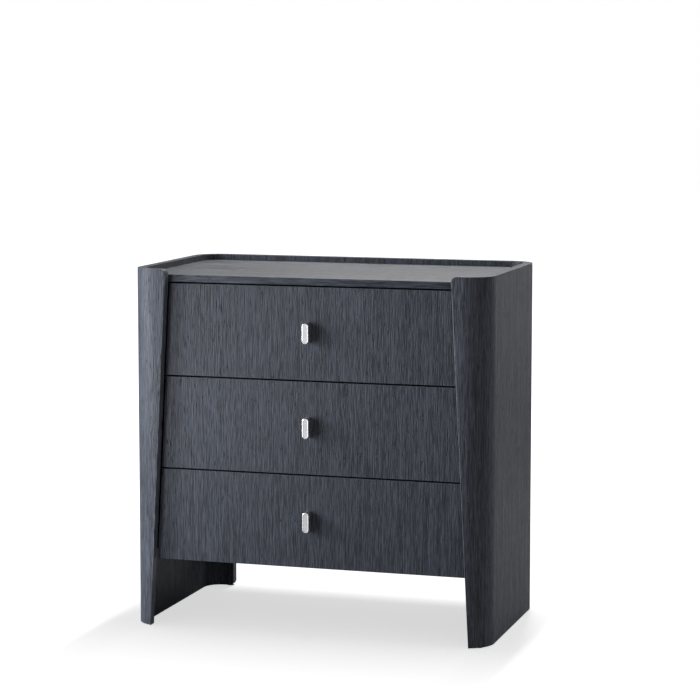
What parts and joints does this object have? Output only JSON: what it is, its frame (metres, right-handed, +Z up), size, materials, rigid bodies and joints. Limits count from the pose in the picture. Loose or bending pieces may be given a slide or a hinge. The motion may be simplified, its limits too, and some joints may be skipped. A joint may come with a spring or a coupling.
{
  "type": "nightstand with drawers",
  "caption": "Low bedside drawer chest: curved side shells form the legs, a tray top with a raised rim, and stacked drawers with pill knobs on full-extension runners.",
  "frame": {"origin": "on the floor, under the middle of the outer box (the knobs stand 2 mm proud of the shells' front plane, so the shells sit 1 mm behind the middle)", "axes": "+X to the right seen from the front (the width), -Y the front where the drawers open, +Z up"},
  "size_m": [0.65, 0.368, 0.636],
  "materials": {
    "stained_veneer": "satin, vertical open grain",
    "stained_veneer_top": "satin, grain along the width",
    "carcass_board": "matt dark foil",
    "drawer_board": "satin lacquered",
    "beech": "raw sanded",
    "black_plastic": "matt",
    "satin_nickel": "satin",
    "zinc_steel": "zinc plated",
    "runner_steel": "zinc plated"
  },
  "bodies": {
    "carcass": {"left_side_shell": "stained_veneer", "right_side_shell": "stained_veneer", "top_panel": "stained_veneer_top", "back_panel": "stained_veneer", "carcass_bottom": "carcass_board", "left_inner_side": "carcass_board", "right_inner_side": "carcass_board", "left_battens": "carcass_board", "right_battens": "carcass_board", "floor_glides": "black_plastic", "top_dowels": "beech", "back_dowels": "beech", "side_screws": "zinc_steel", "bottom_screws": "zinc_steel", "runner_screws": "zinc_steel", "runner_1_cabinet": "runner_steel", "runner_2_cabinet": "runner_steel", "runner_3_cabinet": "runner_steel", "drawer_bumpers": "black_plastic"},
    "drawer_1": {"drawer_1_front": "stained_veneer", "drawer_1_inner_front": "drawer_board", "drawer_1_left": "drawer_board", "drawer_1_right": "drawer_board", "drawer_1_back": "drawer_board", "drawer_1_bottom": "drawer_board", "drawer_1_knob": "satin_nickel", "drawer_1_knob_screw": "zinc_steel", "drawer_1_front_screws": "zinc_steel", "drawer_1_runner": "runner_steel", "drawer_1_runner_screws": "zinc_steel"},
    "drawer_2": {"drawer_2_front": "stained_veneer", "drawer_2_inner_front": "drawer_board", "drawer_2_left": "drawer_board", "drawer_2_right": "drawer_board", "drawer_2_back": "drawer_board", "drawer_2_bottom": "drawer_board", "drawer_2_knob": "satin_nickel", "drawer_2_knob_screw": "zinc_steel", "drawer_2_front_screws": "zinc_steel", "drawer_2_runner": "runner_steel", "drawer_2_runner_screws": "zinc_steel"},
    "drawer_3": {"drawer_3_front": "stained_veneer", "drawer_3_inner_front": "drawer_board", "drawer_3_left": "drawer_board", "drawer_3_right": "drawer_board", "drawer_3_back": "drawer_board", "drawer_3_bottom": "drawer_board", "drawer_3_knob": "satin_nickel", "drawer_3_knob_screw": "zinc_steel", "drawer_3_front_screws": "zinc_steel", "drawer_3_runner": "runner_steel", "drawer_3_runner_screws": "zinc_steel"},
    "runner_1_middle_pair": {"runner_1_middle": "runner_steel"},
    "runner_2_middle_pair": {"runner_2_middle": "runner_steel"},
    "runner_3_middle_pair": {"runner_3_middle": "runner_steel"}
  },
  "joints": [
    {"name": "drawer_1_slide", "type": "slide", "parent": "carcass", "child": "drawer_1", "axis": [0, -1, 0], "range_m": [0, 0.27]},
    {"name": "drawer_2_slide", "type": "slide", "parent": "carcass", "child": "drawer_2", "axis": [0, -1, 0], "range_m": [0, 0.27]},
    {"name": "drawer_3_slide", "type": "slide", "parent": "carcass", "child": "drawer_3", "axis": [0, -1, 0], "range_m": [0, 0.27]},
    {"name": "runner_1_slide", "type": "slide", "parent": "carcass", "child": "runner_1_middle_pair", "axis": [0, -1, 0], "range_m": [0, 0.135]},
    {"name": "runner_2_slide", "type": "slide", "parent": "carcass", "child": "runner_2_middle_pair", "axis": [0, -1, 0], "range_m": [0, 0.135]},
    {"name": "runner_3_slide", "type": "slide", "parent": "carcass", "child": "runner_3_middle_pair", "axis": [0, -1, 0], "range_m": [0, 0.135]}
  ],
  "couplings": [
    {"joint": "runner_1_slide", "follows": "drawer_1_slide", "ratio": 0.5},
    {"joint": "runner_2_slide", "follows": "drawer_2_slide", "ratio": 0.5},
    {"joint": "runner_3_slide", "follows": "drawer_3_slide", "ratio": 0.5}
  ]
}
